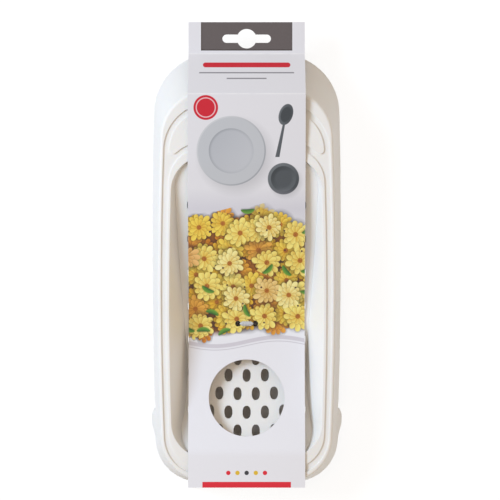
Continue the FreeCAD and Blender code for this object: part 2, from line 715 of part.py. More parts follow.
tie = rounded("TieStrap", tie_bent, mm("tie_round"), is_tie_shoulder)

# ---------------------------------------------------------------- scraper

scraper = doc.addObject("PartDesign::Body", "Scraper")


def body_sketch(body, name, role):
    drawing = body.newObject("Sketcher::SketchObject", name)
    plane = [f for f in body.Origin.OriginFeatures if f.Role == role][0]
    drawing.AttachmentSupport = [(plane, "")]
    drawing.MapMode = "FlatFace"
    return drawing


blade_sketch = body_sketch(scraper, "BladeOutline", "XY_Plane")
edge_half = mm("scraper_edge") / 2
grip_half = mm("grip_end_width") / 2
blade_sketch_points = [
    (-edge_half, mm("scraper_length")), (edge_half, mm("scraper_length")), (grip_half, 0), (-grip_half, 0),
]
for line in polygon(blade_sketch_points):
    blade_sketch.addGeometry(line, False)
blade = scraper.newObject("PartDesign::Pad", "Blade")
blade.Profile = blade_sketch
blade.setExpression("Length", "Sizes.scraper_blade")
doc.recompute()


def edges_where(feature, test):
    return ["Edge%d" % i for i, e in enumerate(feature.Shape.Edges, start=1) if test(e)]


def is_grip_corner(edge):
    return abs(edge.BoundBox.ZLength - mm("scraper_blade")) < CLOSE and edge.CenterOfMass.y < CLOSE


def is_working_edge(edge):
    at_edge = abs(edge.CenterOfMass.y - mm("scraper_length")) < CLOSE
    return at_edge and edge.BoundBox.ZMin > mm("scraper_blade") / 2


def is_bead_end(edge):
    at_end = abs(abs(edge.CenterOfMass.x) - (grip_half - mm("scraper_corner"))) < CLOSE
    return at_end and edge.BoundBox.ZMax > mm("grip_height") - CLOSE


corners = scraper.newObject("PartDesign::Fillet", "GripCorners")
corners.Base = (blade, edges_where(blade, is_grip_corner))
corners.setExpression("Radius", "Sizes.scraper_corner")
doc.recompute()
bevel = scraper.newObject("PartDesign::Chamfer", "WorkingEdge")
bevel.Base = (corners, edges_where(corners, is_working_edge))
bevel.ChamferType = "Two distances"
bevel.setExpression("Size", "Sizes.scraper_bevel")
bevel.setExpression("Size2", "Sizes.bevel_run")
doc.recompute()

bead_sketch = body_sketch(scraper, "GripBeadEnd", "YZ_Plane")
bead_low = mm("grip_inset")
bead_high = bead_low + mm("grip_width")
bead_crown = Vector((bead_low + bead_high) / 2, mm("grip_height"), 0)
bead_feet = (Vector(bead_low, mm("scraper_blade") / 2, 0), Vector(bead_high, mm("scraper_blade") / 2, 0))
bead_sketch.addGeometry(Part.Arc(bead_feet[0], bead_crown, bead_feet[1]), False)
bead_sketch.addGeometry(Part.LineSegment(bead_feet[1], bead_feet[0]), False)
bead = scraper.newObject("PartDesign::Pad", "GripBead")
bead.Profile = bead_sketch
bead.Midplane = True
bead.setExpression("Length", "Sizes.grip_end_width - Sizes.scraper_corner * 2")
doc.recompute()
bead_ends = scraper.newObject("PartDesign::Chamfer", "GripBeadEnds")
bead_ends.Base = (bead, edges_where(bead, is_bead_end))
bead_ends.setExpression("Size", "Sizes.grip_chamfer")
scraper.Tip = bead_ends

# ---------------------------------------------------------------- place, check and write

pack_shift = -(tab_end + far_fold - ply / 2) / 2
NODES = [
    ("tray_frame", tray_frame, Vector(0, pack_shift, 0)),
    ("hole_plate", hole_plate, Vector(0, pack_shift, 0)),
    ("scraper", scraper, Vector(0, pack_shift + mm("scraper_at"), ply + mm("scraper_rest"))),
    ("sleeve_front_panel", front_panel, Vector(0, pack_shift, 0)),
    ("sleeve_end_panel", end_card, Vector(0, pack_shift, 0)),
    ("sleeve_back_panel", back_panel, Vector(0, pack_shift, 0)),
    ("tie", tie, Vector(0, pack_shift, 0)),
]
for label, node, place in NODES:
    node.Label = label
    node.Placement = Placement(place, LEVEL)
doc.recompute()

for item in doc.Objects:
    if any(state in ("Invalid", "Error") for state in item.State):
        raise RuntimeError("%s failed: %s" % (item.Name, item.State))
os.makedirs("parts", exist_ok=True)
for label, node, place in NODES:
    shape = node.Shape
    if shape.isNull() or not shape.isValid() or not shape.Solids:
        raise RuntimeError("%s has no valid solid" % label)
    shape.exportStep("parts/%s.step" % label)
    size = shape.BoundBox
    print("%-20s solids %d volume %9.1f  x %.1f..%.1f  y %.1f..%.1f  z %.2f..%.2f" % (
        label, len(shape.Solids), shape.Volume, size.XMin, size.XMax, size.YMin, size.YMax,
        size.ZMin, size.ZMax))
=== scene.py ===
import math

import bmesh
import bpy
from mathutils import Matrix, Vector


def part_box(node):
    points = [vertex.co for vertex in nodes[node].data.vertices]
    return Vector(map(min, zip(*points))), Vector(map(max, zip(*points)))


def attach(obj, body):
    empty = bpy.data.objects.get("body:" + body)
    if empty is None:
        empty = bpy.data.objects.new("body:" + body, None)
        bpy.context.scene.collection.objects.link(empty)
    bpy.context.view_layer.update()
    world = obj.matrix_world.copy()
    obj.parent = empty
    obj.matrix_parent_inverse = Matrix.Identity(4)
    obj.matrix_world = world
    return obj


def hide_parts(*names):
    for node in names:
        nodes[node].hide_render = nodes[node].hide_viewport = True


# The looks of a spaetzle grater in its printed card sleeve. Metres, in the frame of the CAD part:
# +X to the right, +Y towards the hang tab, +Z up out of the tray. Materials and print are laid
# out in millimetres of that frame.

MM = 0.001
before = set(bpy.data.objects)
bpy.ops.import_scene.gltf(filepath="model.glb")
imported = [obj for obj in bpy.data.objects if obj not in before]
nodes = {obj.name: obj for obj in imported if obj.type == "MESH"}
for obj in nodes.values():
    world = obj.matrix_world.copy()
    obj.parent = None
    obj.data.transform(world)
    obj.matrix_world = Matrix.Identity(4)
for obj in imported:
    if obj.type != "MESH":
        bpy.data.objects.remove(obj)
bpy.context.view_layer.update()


def link(thing):
    bpy.context.scene.collection.objects.link(thing)


# ---------------------------------------------------------------- camera and lamps

CAMERA_AT = (0.0022, 0.00455, 1.5)
CAMERA_LENS = 160.6
CAMERA_SENSOR = 36.0
COOL_WHITE = (0.9, 0.96, 1.0)
LAMPS = [
    # name, place, edge length, power, colour
    ("key", (-1.06, 0.35, 1.08), 0.6, 18.6, (0.638, 0.8, 1.0)),
    ("side_far", (1.0, -0.85, 0.15), 0.28, 1.4, COOL_WHITE),
    ("side_near", (0.85, 1.0, 0.15), 0.28, 0.9, COOL_WHITE),
]


def add_camera():
    """A camera that looks straight down, as the photo does."""
    data = bpy.data.cameras.new("camera")
    data.lens = CAMERA_LENS
    data.sensor_width = CAMERA_SENSOR
    camera = bpy.data.objects.new("camera", data)
    camera.location = CAMERA_AT
    link(camera)
    bpy.context.scene.camera = camera


def add_softbox(name, place, size, power, colour):
    """A square area light that faces the object."""
    data = bpy.data.lights.new(name, "AREA")
    data.shape = "SQUARE"
    data.size = size
    data.energy = power
    data.color = colour
    lamp = bpy.data.objects.new(name, data)
    lamp.location = place
    lamp.rotation_mode = "QUATERNION"
    lamp.rotation_quaternion = (-Vector(place)).to_track_quat("-Z", "Y")
    link(lamp)


# ---------------------------------------------------------------- shader nodes

MIX_UNDER, MIX_OVER, MIX_RESULT = 6, 7, 2  # the colour sockets of a Mix node
BEVEL_SAMPLES = 6
FULL_TURN = 2 * math.pi


def empty_tree(owner):
    """The node tree of a material or world, cleared."""
    owner.use_nodes = True
    owner.node_tree.nodes.clear()
    return owner.node_tree


def add_node(tree, kind, **settings):
    """A shader node of that kind, with its input sockets set by name."""
    node = tree.nodes.new("ShaderNode" + kind)
    for socket, value in settings.items():
        node.inputs[socket.replace("_", " ")].default_value = value
    return node


def plug(tree, item, socket):
    """Give a socket a number, a colour, a Field or what comes out of another node."""
    if isinstance(item, Field):
        item = item.value
    if isinstance(item, (int, float)):
        socket.default_value = item
    elif isinstance(item, tuple):
        socket.default_value = (*item, 1)
    else:
        tree.links.new(item, socket)


def end_tree(tree, kind, shader):
    """End a tree with an output node of that kind."""
    plug(tree, shader.outputs[0], add_node(tree, kind).inputs["Surface"])


class Field:
    """A number that varies over a surface, built from shader nodes with plain arithmetic."""

    def __init__(self, tree, value):
        self.tree = tree
        self.value = value

    def math(self, operation, *others, clamp=False):
        node = add_node(self.tree, "Math")
        node.operation = operation
        node.use_clamp = clamp
        for socket, item in zip(node.inputs, (self, *others)):
            plug(self.tree, item, socket)
        return Field(self.tree, node.outputs[0])

    def __add__(self, other):
        return self.math("ADD", other)

    __radd__ = __add__

    def __sub__(self, other):
        return self.math("SUBTRACT", other)

    def __rsub__(self, other):
        return Field(self.tree, other).math("SUBTRACT", self)

    def __mul__(self, other):
        return self.math("MULTIPLY", other)

    def __truediv__(self, other):
        return self.math("DIVIDE", other)

    def __abs__(self):
        return self.math("ABSOLUTE")

    def length_with(self, other):
        return (self * self + other * other).math("SQRT")

    def clamped(self):
        """Held between 0 and 1."""
        return self.math("ADD", 0.0, clamp=True)

    def below(self, limit, soft):
        """1 well below the limit and 0 well above it, with a soft step of that width between."""
        return ((limit - self) / soft + 0.5).clamped()

    def above(self, limit, soft):
        return ((self - limit) / soft + 0.5).clamped()

    def least(self, other):
        return self.math("MINIMUM", other)

    def most(self, other):
        return self.math("MAXIMUM", other)


class Paint:
    """A node material. It measures in millimetres: places, cells of noise, depths and radii."""

    def __init__(self, name, **finish):
        self.material = bpy.data.materials.new(name)
        self.tree = empty_tree(self.material)
        self.shader = add_node(self.tree, "BsdfPrincipled", **finish)
        end_tree(self.tree, "OutputMaterial", self.shader)
        place = add_node(self.tree, "TexCoord")
        self.metres = place.outputs["Object"]
        self.x, self.y = [axis * (1 / MM) for axis in self.split(self.metres)[:2]]
        self.facing = self.split(place.outputs["Normal"])

    def split(self, vector):
        node = add_node(self.tree, "SeparateXYZ")
        plug(self.tree, vector, node.inputs[0])
        return [Field(self.tree, output) for output in node.outputs]

    def vector(self, *parts):
        node = add_node(self.tree, "CombineXYZ")
        for socket, part in zip(node.inputs, parts):
            plug(self.tree, part, socket)
        return node.outputs[0]

    def noise(self, cell, detail=2.0, roughness=0.5):
        """Cloudy value about 0.5. The cell is the size of its clouds."""
        node = add_node(self.tree, "TexNoise", Scale=1 / (cell * MM), Detail=detail,
                        Roughness=roughness)
        plug(self.tree, self.metres, node.inputs["Vector"])
        return Field(self.tree, node.outputs["Fac"])

    def mix(self, share, under, over, blend="MIX"):
        """Colour that goes from under (share 0) to over (share 1)."""
        node = add_node(self.tree, "Mix")
        node.data_type = "RGBA"
        node.blend_type = blend
        plug(self.tree, share, node.inputs["Factor"])
        plug(self.tree, under, node.inputs[MIX_UNDER])
        plug(self.tree, over, node.inputs[MIX_OVER])
        return node.outputs[MIX_RESULT]

    def shade(self, colour, factor):
        """The colour times a number."""
        return self.mix(1, colour, self.vector(factor, factor, factor), blend="MULTIPLY")

    def colour(self, colour):
        plug(self.tree, colour, self.shader.inputs["Base Color"])

    def roughness(self, field):
        plug(self.tree, field, self.shader.inputs["Roughness"])

    def relief(self, height, strength, depth, edge_radius=0.0):
        """Bump of that depth, on edges that look softened to that radius."""
        bump = add_node(self.tree, "Bump", Strength=strength, Distance=depth * MM)
        plug(self.tree, height, bump.inputs["Height"])
        if edge_radius:
            bevel = add_node(self.tree, "Bevel", Radius=edge_radius * MM)
            bevel.samples = BEVEL_SAMPLES
            plug(self.tree, bevel.outputs[0], bump.inputs["Normal"])
        plug(self.tree, bump.outputs[0], self.shader.inputs["Normal"])


def srgb(red, green, blue):
    """A colour given in 0..255 display values, as linear light."""
    def linear(part):
        part = part / 255
        return part / 12.92 if part <= 0.04045 else ((part + 0.055) / 1.055) ** 2.4
    return (linear(red), linear(green), linear(blue))


# ---------------------------------------------------------------- mouldings

def white_moulding():
    """Satin white plastic with faint flow clouds, fine spark-eroded grain and softened edges."""
    paint = Paint("white_moulding", Specular_IOR_Level=0.42, Subsurface_Weight=0.12,
                  Subsurface_Radius=(1.0, 0.75, 0.5), Subsurface_Scale=0.0018)
    clouds = paint.noise(cell=38, detail=3)
    grain = paint.noise(cell=0.35)
    sink_marks = paint.noise(cell=9, detail=1)
    paint.colour(paint.mix(clouds, srgb(240, 238, 234), srgb(246, 245, 242)))
    paint.roughness(clouds * 0.1 + grain * 0.06 + 0.36)
    paint.relief(grain + sink_marks * 1.5, strength=0.25, depth=0.05, edge_radius=0.16)
    return paint.material


def dark_moulding():
    """Charcoal plastic with a fine matt grain and softened edges."""
    paint = Paint("dark_moulding", Specular_IOR_Level=0.4)
    clouds = paint.noise(cell=20, detail=3)
    grain = paint.noise(cell=0.3, detail=3)
    paint.colour(paint.mix(clouds * 0.6 + grain * 0.4, srgb(48, 50, 52), srgb(66, 69, 71)))
    paint.roughness(grain * 0.14 + 0.48)
    paint.relief(grain, strength=0.35, depth=0.06, edge_radius=0.4)
    return paint.material


# ---------------------------------------------------------------- card

CARD_HALF = 38.4  # half the sheet's width
TAB_CREASE, TAB_ROOT, RIM_CREASE = 133.9, 136.3, 105.9  # where the creases lie along Y
CARD_GREY, CARD_PALE = srgb(227, 226, 230), srgb(237, 237, 242)
CUT_EDGE = srgb(205, 196, 180), srgb(176, 164, 146)  # two tones each, mixed by the board's fibre
# The bare inside, painted lighter than the board's own dark grey: painted light that stands in for
# light reaching the inside under the tray.
PAINTED_LIGHT_INSIDE = srgb(206, 198, 190), srgb(224, 217, 210)
DARK_INSIDE = srgb(88, 80, 79), srgb(106, 97, 95)
RUBBED = srgb(246, 245, 243)
SIDE_TURN = 0.35  # a face that turns less than this to the outside or the inside is a cut edge
EDGE_RUB = 0.35, 0.4, 0.35  # reach, soft edge and strength of the wear
CREASE_RUB = 0.28, 0.3, 0.6


def card_sides(paint, outward):
    """How far a point lies on the printed outside, and on the bare inside, of the sheet."""
    along = sum(part * weight for part, weight in zip(paint.facing, outward) if weight)
    return along.above(SIDE_TURN, 0.1), along.below(-SIDE_TURN, 0.1)


def worn(paint, colour, creases):
    """Ink rubbed thin along the creases and the long cut edges, in patches."""
    patches = paint.noise(cell=5.0, detail=3).above(0.42, 0.3)
    reach, soft, strength = EDGE_RUB
    rub = abs(abs(paint.x) - CARD_HALF).below(reach, soft) * strength
    reach, soft, strength = CREASE_RUB
    for place in creases:
        rub = rub.most(abs(paint.y - place).below(reach, soft) * strength)
    return paint.mix(rub * patches, colour, RUBBED)


def finish_card(paint, printed, outward, dark_from=None):
    """Printed outside, with bare board at the cut edges and inside. The inside carries painted
    light: it is painted lighter than the board's own dark grey short of a place along Y, and dark
    beyond it."""
    outside, inside = card_sides(paint, outward)
    fibre = paint.noise(cell=0.5, detail=4, roughness=0.7)
    mottle = fibre * 0.6 + paint.noise(cell=1.6) * 0.4
    # Painted light: the inside's lighter tone; beyond dark_from it is the board's own dark grey.
    bare = paint.mix(mottle, *PAINTED_LIGHT_INSIDE)
    if dark_from is not None:
        bare = paint.mix(paint.y.above(dark_from, 0.3), bare, paint.mix(mottle, *DARK_INSIDE))
    board = paint.mix(inside, paint.mix(fibre, *CUT_EDGE), bare)
    paint.colour(paint.mix(outside, board, printed))
    paint.roughness(fibre * 0.06 - outside * 0.33 + 0.75)
    paint.relief(fibre + paint.noise(cell=14, detail=1) * 2.0, strength=0.22, depth=0.06)
    return paint.material


def plain_card(name, outward, dark_from=None):
    """Outside of the sleeve's end and back: plain grey, without any print."""
    paint = Paint(name, Specular_IOR_Level=0.5)
    ink = paint.mix(paint.noise(cell=60), CARD_GREY, CARD_PALE)
    return finish_card(paint, worn(paint, ink, (TAB_ROOT,)), outward, dark_from)


# ---------------------------------------------------------------- print of the front panel

CARD_FADE = -25.0, 110.0  # middle and length along Y of the change to the pale tone
RED, DEEP_RED = srgb(222, 32, 52), srgb(202, 12, 40)
YELLOW, CHARCOAL = srgb(226, 186, 52), srgb(48, 48, 52)

RED_RULE = 126.0, 27.0, 1.7  # Y, half length, half height
THIN_RULES = (120.5, 31.0), (116.5, 13.0)  # Y, half length
THIN_RULE_HALF = 0.42
RULE_GREY = srgb(92, 90, 96)

# A round thing has its place, the slope of the light across it, its shadow (place, radius, soft
# edge, depth), and its rings from the rim inwards (radius, soft edge, cover, two colours).
PLATE = dict(
    at=(-10.0, 69.0), light=(0.022, -0.016), shadow=((-7.0, 65.5), 23.0, 8.0, 0.22),
    rings=[(22.5, 0.3, 1.0, srgb(206, 208, 211), srgb(160, 163, 168)),
           (21.6, 0.5, 0.7, srgb(186, 189, 194), srgb(206, 208, 212)),
           (14.6, 0.4, 1.0, srgb(150, 153, 159), srgb(190, 193, 198)),
           (13.6, 1.6, 1.0, srgb(178, 181, 187), srgb(196, 198, 203))])
DISH = dict(
    at=(24.0, 51.0), light=(-0.05, 0.045), shadow=((25.4, 49.2), 10.0, 4.0, 0.25),
    rings=[(10.2, 0.3, 1.0, srgb(62, 66, 70), srgb(104, 109, 113)),
           (8.2, 0.5, 1.0, srgb(84, 89, 93), srgb(48, 52, 55)),
           (5.6, 1.2, 1.0, srgb(70, 74, 78), srgb(70, 74, 78))])

SPOON_AT, SPOON_LEAN = (23.0, 80.0), 0.2
BOWL_Y, BOWL_HALF_WIDTH, BOWL_HALF_LENGTH = 92.5, 4.6, 6.8
STEM_Y, STEM_HALF_LENGTH = 76.5, 11.5
STEM_TOP, STEM_TOP_HALF, STEM_FLARE = 86.0, 0.75, 0.03

BADGE_AT, BADGE_RADIUS, BADGE_RING = (-26.5, 97.0), 8.0, 6.2

BED_TOP, BED_TOP_BOW, BED_TOP_WAVE = 33.0, 0.009, (0.17, 3.2)  # wave: radians per mm, height
BED_FOOT, BED_FOOT_WAVE = -52.0, (0.075, 3.0)
HAZE_BELOW, HAZE_ABOVE = (38.0, 14.0), (24.0, 16.0)  # limits along Y, and their soft steps
GROUND_FROM = 4.0, 4.0  # how far inside the bed its dark ground begins, and its soft step
BAND_GAP, SECOND_BAND = 4.0, 2.6  # from the bed to the first band, and on to the second

WHOLE = 0.01  # a step so sharp that a flower or leaf is shown whole or not at all
LOOSE = 0.5  # how far flowers and leaves stray from a regular grid
FLOWERS = [
    # cell, shift, reach, petals, share kept, colour in the folds, colour in the light
    (15.0, (3.1, 7.7), 7.6, 11, 1.0, srgb(122, 56, 8), srgb(210, 132, 30)),
    (17.0, (11.3, 2.9), 8.6, 12, 1.0, srgb(180, 110, 12), srgb(236, 190, 56)),
    (18.5, (5.9, 13.1), 9.2, 13, 0.95, srgb(202, 142, 20), srgb(242, 214, 88)),
    (20.0, (17.7, 4.3), 9.8, 12, 0.8, srgb(212, 160, 30), srgb(246, 230, 128)),
    (23.0, (8.8, 19.2), 9.4, 13, 0.55, srgb(216, 170, 44), srgb(250, 240, 164)),
]
HEAD_MARGIN = 0.55  # share of its reach by which a flower's centre is inside the bed
HEAD_SHADE, PETAL_SHADE = 0.45, 0.35
CENTRE_REACH = 0.17
PETAL_RINGS = (0, 1.0, 0.0), (2, 0.66, 0.4)  # petals fewer, share of the reach, twist
PETAL_SWIRL = 0.02  # petals that a ring turns by, for each millimetre outwards
PETAL_SHORTEST, PETAL_SPREAD = 0.78, 0.3  # length as a share of the reach, and its variation
PETAL_FULLNESS, PETAL_WIDEST = 5.2, 0.97
ORANGE_FOLD, ORANGE_LIGHT = srgb(150, 58, 20), srgb(226, 140, 62)
ORANGE_FROM, ORANGE_COVER = 0.8, 0.6  # one flower in five is tinted orange
LEAVES_AND_SEEDS = [
    # cell, shift, half length, half width, bend, share kept, dark side, light side
    (13.0, (7.2, 25.8), 4.4, 1.5, 0.05, 0.36, srgb(28, 84, 30), srgb(112, 164, 56)),
    (12.0, (29.4, 3.7), 0.6, 0.55, 0.0, 0.34, srgb(44, 22, 24), srgb(84, 40, 34)),
]

DOTS_Y, DOT_RADIUS = -141.4, 1.45
DOTS = (-12.0, RED), (-6.0, YELLOW), (0.0, CHARCOAL), (6.0, YELLOW), (12.0, RED)
END_BAR_Y, END_BAR_HALF = -147.3, 29.0


class Print:
    """Ink laid on a card, one layer over another."""

    def __init__(self, paint, ground):
        self.paint = paint
        self.x, self.y = paint.x, paint.y
        self.colour = ground

    def lay(self, share, ink):
        self.colour = self.paint.mix(share, self.colour, ink)

    def darken(self, share):
        self.colour = self.paint.shade(self.colour, 1.0 - share)

    def distance(self, place):
        return (self.x - place[0]).length_with(self.y - place[1])


class Strewn:
    """Things strewn over a print at random: one to a cell, each with three chances of its own."""

    def __init__(self, paint, cell, shift):
        self.paint = paint
        cells = add_node(paint.tree, "TexVoronoi", Scale=1, Randomness=LOOSE)
        cells.voronoi_dimensions = "2D"
        u = paint.x / cell + shift[0]
        v = paint.y / cell + shift[1]
        plug(paint.tree, paint.vector(u, v, 0.0), cells.inputs["Vector"])
        centre_u, centre_v = paint.split(cells.outputs["Position"])[:2]
        chance = add_node(paint.tree, "SeparateColor")
        plug(paint.tree, cells.outputs["Color"], chance.inputs[0])
        self.turn, self.pick, self.tint = [Field(paint.tree, out) for out in chance.outputs[:3]]
        self.across = (u - centre_u) * cell
        self.up = (v - centre_v) * cell
        self.place_x = (centre_u - shift[0]) * cell
        self.place_y = (centre_v - shift[1]) * cell

    def shown(self, margin, keep):
        """1 over things whose centre lies that far inside the bed, thinned to the share to keep."""
        within = inside_bed(self.place_x, self.place_y) - margin
        return within.above(0.0, WHOLE) * self.pick.below(keep, WHOLE)


class Blossoms(Strewn):
    """Flower heads, each with rings of petals round its centre."""

    def __init__(self, paint, cell, shift):
        super().__init__(paint, cell, shift)
        self.radius = self.across.length_with(self.up)
        self.angle = self.up.math("ARCTAN2", self.across) / FULL_TURN + self.turn

    def ring(self, count, reach, twist):
        """A ring of petals: how far a point lies outside them, and their light from 0 to 1."""
        tree = self.paint.tree
        sector = self.angle * count + twist + self.radius * PETAL_SWIRL
        index = sector.math("FLOOR")
        offset = (sector - index - 0.5) * 2.0
        hashed = add_node(tree, "TexWhiteNoise")
        hashed.noise_dimensions = "2D"
        petal = self.paint.vector(index.math("FLOORED_MODULO", count), self.place_x + twist, 0.0)
        plug(tree, petal, hashed.inputs["Vector"])
        chance = Field(tree, hashed.outputs["Value"])
        long = self.radius / ((chance * PETAL_SPREAD + PETAL_SHORTEST) * reach)
        width = ((1.0 - long) * long * PETAL_FULLNESS).most(0.0).math("SQRT").least(PETAL_WIDEST)
        edge = (abs(offset) - width).most((long - 1.0) * 6.0)
        light = offset * 0.3 + 0.55 + (chance - 0.5) * 0.5 + (long - 0.5) * 0.55
        return edge, light.clamped()


class Leaves(Strewn):
    """Pointed leaves or round seeds, each turned its own way."""

    def __init__(self, paint, cell, shift, length, width, bend):
        super().__init__(paint, cell, shift)
        angle = self.turn * FULL_TURN
        cosine, sine = angle.math("COSINE"), angle.math("SINE")
        along = self.across * cosine + self.up * sine
        off = self.up * cosine - self.across * sine + along * along * bend
        long = along / length
        taper = (1.0 - long * long).most(0.0).math("SQRT")
        self.edge = abs(off) / width - taper + (abs(long) - 1.0).most(0.0) * 8.0
        self.light = (off / width * 0.5 + 0.5).clamped()


def wave(x, pace, height):
    return (x * pace).math("SINE") * height


def foot_line(x):
    """Y of the flower bed's lower edge at an X."""
    return wave(x, *BED_FOOT_WAVE) + BED_FOOT


def inside_bed(x, y):
    """How far along Y a point lies inside the flower bed."""
    top_line = BED_TOP - x * x * BED_TOP_BOW + wave(x, *BED_TOP_WAVE)
    return (top_line - y).least(y - foot_line(x))


def lay_rules(sheet):
    """A red rule with round ends and two thin grey ones, on the slope below the hang tab."""
    place, half, thick = RED_RULE
    past_end = (abs(sheet.x) - half).most(0.0)
    sheet.lay(past_end.length_with(sheet.y - place).below(thick, 0.25), DEEP_RED)
    for place, half in THIN_RULES:
        line = abs(sheet.y - place).below(THIN_RULE_HALF, 0.2) * abs(sheet.x).below(half, 0.2)
        sheet.lay(line * 0.8, RULE_GREY)


def lay_round(sheet, at, light, shadow, rings):
    """A round thing seen from above, with its shadow."""
    shadow_at, shadow_radius, soft, depth = shadow
    sheet.darken(sheet.distance(shadow_at).below(shadow_radius, soft) * depth)
    gloss = ((sheet.x - at[0]) * light[0] + (sheet.y - at[1]) * light[1] + 0.5).clamped()
    from_centre = sheet.distance(at)
    for radius, soft, cover, first, second in rings:
        ink = sheet.paint.mix(gloss, first, second)
        sheet.lay(from_centre.below(radius, soft) * cover, ink)


def lay_spoon(sheet):
    """A dark spoon that leans to the right."""
    y = sheet.y
    across = sheet.x - SPOON_AT[0] - (y - SPOON_AT[1]) * SPOON_LEAN
    bowl = (across / BOWL_HALF_WIDTH).length_with((y - BOWL_Y) / BOWL_HALF_LENGTH)
    stem = abs(across).below((STEM_TOP - y) * STEM_FLARE + STEM_TOP_HALF, 0.25)
    stem = stem * abs(y - STEM_Y).below(STEM_HALF_LENGTH, 0.3)
    gloss = (across * -0.12 + 0.5).clamped()
    body = sheet.paint.mix(gloss, srgb(58, 62, 66), srgb(98, 103, 107))
    sheet.lay(bowl.below(1.0, 0.06).most(stem), body)
    sheet.lay(bowl.below(0.74, 0.16), srgb(52, 56, 59))


def lay_badge(sheet):
    """A red disc with a pale ring."""
    radius = sheet.distance(BADGE_AT)
    sheet.lay(radius.below(BADGE_RADIUS, 0.25), DEEP_RED)
    sheet.lay(abs(radius - BADGE_RING).below(0.35, 0.2) * 0.8, srgb(244, 210, 214))


def lay_flowers(sheet):
    """Layer on layer of flower heads, each with its shade on those below."""
    paint = sheet.paint
    centre = paint.mix(paint.noise(cell=0.9, detail=1), srgb(116, 52, 20), srgb(206, 132, 44))
    for cell, shift, reach, petals, keep, fold, lit in FLOWERS:
        heads = Blossoms(paint, cell, shift)
        shown = heads.shown(reach * HEAD_MARGIN, keep)
        sheet.darken(heads.radius.below(reach * 1.02, 3.0) * shown * HEAD_SHADE)
        orange = heads.tint.above(ORANGE_FROM, 0.05) * ORANGE_COVER
        for fewer, share, twist in PETAL_RINGS:
            edge, light = heads.ring(petals - fewer, reach * share, twist)
            body = paint.mix(light, fold, lit)
            body = paint.mix(orange, body, paint.mix(light, ORANGE_FOLD, ORANGE_LIGHT))
            sheet.darken(edge.below(0.35, 0.7) * shown * PETAL_SHADE)
            sheet.lay(edge.below(0.0, 0.24) * shown, body)
        sheet.lay(heads.radius.below(reach * CENTRE_REACH, 0.5) * shown, centre)


def lay_leaves(sheet):
    """A few leaves and small seeds on top of the flowers."""
    for cell, shift, length, width, bend, keep, dark, lit in LEAVES_AND_SEEDS:
        leaves = Leaves(sheet.paint, cell, shift, length, width, bend)
        shown = leaves.shown(length * 0.5, keep)
        sheet.darken(leaves.edge.below(0.35, 0.8) * shown * 0.38)
        body = sheet.paint.mix(leaves.light, dark, lit)
        sheet.lay(leaves.edge.below(0.0, 0.22) * shown, body)


def lay_flower_bed(sheet):
    """A bed of flowers on a ground that darkens between them, with a double band at its foot."""
    paint, x, y = sheet.paint, sheet.x, sheet.y
    sheet.lay(y.below(*HAZE_BELOW) * y.above(*HAZE_ABOVE) * 0.5, srgb(196, 194, 206))
    ground = paint.mix(paint.noise(cell=7), srgb(96, 44, 14), srgb(160, 96, 26))
    sheet.lay(inside_bed(x, y).above(*GROUND_FROM), ground)
    lay_flowers(sheet)
    lay_leaves(sheet)
    band = foot_line(x) - BAND_GAP - y
    sheet.lay(abs(band).below(1.3, 0.6) * 0.6, srgb(190, 182, 192))
    sheet.lay(abs(band - SECOND_BAND).below(0.3, 0.3) * 0.5, srgb(176, 168, 180))


def lay_far_end(sheet):
    """A row of dots and a red bar."""
    for place, colour in DOTS:
        sheet.lay(sheet.distance((place, DOTS_Y)).below(DOT_RADIUS, 0.2), colour)
    sheet.lay(abs(sheet.x).below(END_BAR_HALF, 0.2) * sheet.y.below(END_BAR_Y, 0.2), RED)


def front_print(paint):
    """The generic print of the front panel, on card that pales towards the far end."""
    sheet = Print(paint, paint.mix(paint.y.below(*CARD_FADE), CARD_GREY, CARD_PALE))
    lay_rules(sheet)
    lay_round(sheet, **PLATE)
    lay_round(sheet, **DISH)
    lay_spoon(sheet)
    lay_badge(sheet)
    lay_flower_bed(sheet)
    lay_far_end(sheet)
    return worn(paint, sheet.colour, (TAB_CREASE, RIM_CREASE))


def front_card():
    paint = Paint("printed_front", Specular_IOR_Level=0.5)
    return finish_card(paint, front_print(paint), (0, 0, 1))


# ---------------------------------------------------------------- fill light and floor

FILL_LIGHT = (0.56, 0.46, 0.36)
FLOOR_HALF = 3.0
FLOOR_DROP = 0.0002
FLOOR_BOUNCE = 0.4
FLOOR_SHADOW = 0.2
FLOOR_CLEAR = 0.88


def grey(level):
    return (level, level, level, 1)


def mix_shaders(tree, share, first, second):
    """A shader that goes from the first (share 0) to the second (share 1)."""
    node = add_node(tree, "MixShader")
    for socket, item in zip(node.inputs, (share, first.outputs[0], second.outputs[0])):
        plug(tree, item, socket)
    return node


def seen_directly(tree):
    """1 for what the camera sees, also in glossy and clear surfaces, 0 for light on things."""
    path = add_node(tree, "LightPath")
    camera, glossy, clear = [Field(tree, path.outputs["Is %s Ray" % kind])
                             for kind in ("Camera", "Glossy", "Transmission")]
    return camera.most(glossy).most(clear)


def add_world():
    """Even warm fill. The camera, glossy and clear surfaces see plain white instead."""
    world = bpy.data.worlds.new("studio")
    bpy.context.scene.world = world
    tree = empty_tree(world)
    fill = add_node(tree, "Background", Color=(*FILL_LIGHT, 1))
    white = add_node(tree, "Background", Color=grey(1))
    end_tree(tree, "OutputWorld", mix_shaders(tree, seen_directly(tree), fill, white))


def light_table():
    """Seen from above it keeps soft shadows over the white behind it and shows what lies below.
    It lights the object with a mild bounce, and is clear from below."""
    material = bpy.data.materials.new("floor")
    tree = empty_tree(material)
    table = add_node(tree, "AddShader")
    layers = (add_node(tree, "BsdfDiffuse", Color=grey(FLOOR_SHADOW)),
              add_node(tree, "BsdfTransparent", Color=grey(FLOOR_CLEAR)))
    for layer, socket in zip(layers, table.inputs):
        plug(tree, layer.outputs[0], socket)
    bounce = add_node(tree, "BsdfDiffuse", Color=grey(FLOOR_BOUNCE))
    from_above = mix_shaders(tree, seen_directly(tree), bounce, table)
    from_below = add_node(tree, "BsdfTransparent")
    back = add_node(tree, "NewGeometry").outputs["Backfacing"]
    end_tree(tree, "OutputMaterial", mix_shaders(tree, back, from_above, from_below))
    return material


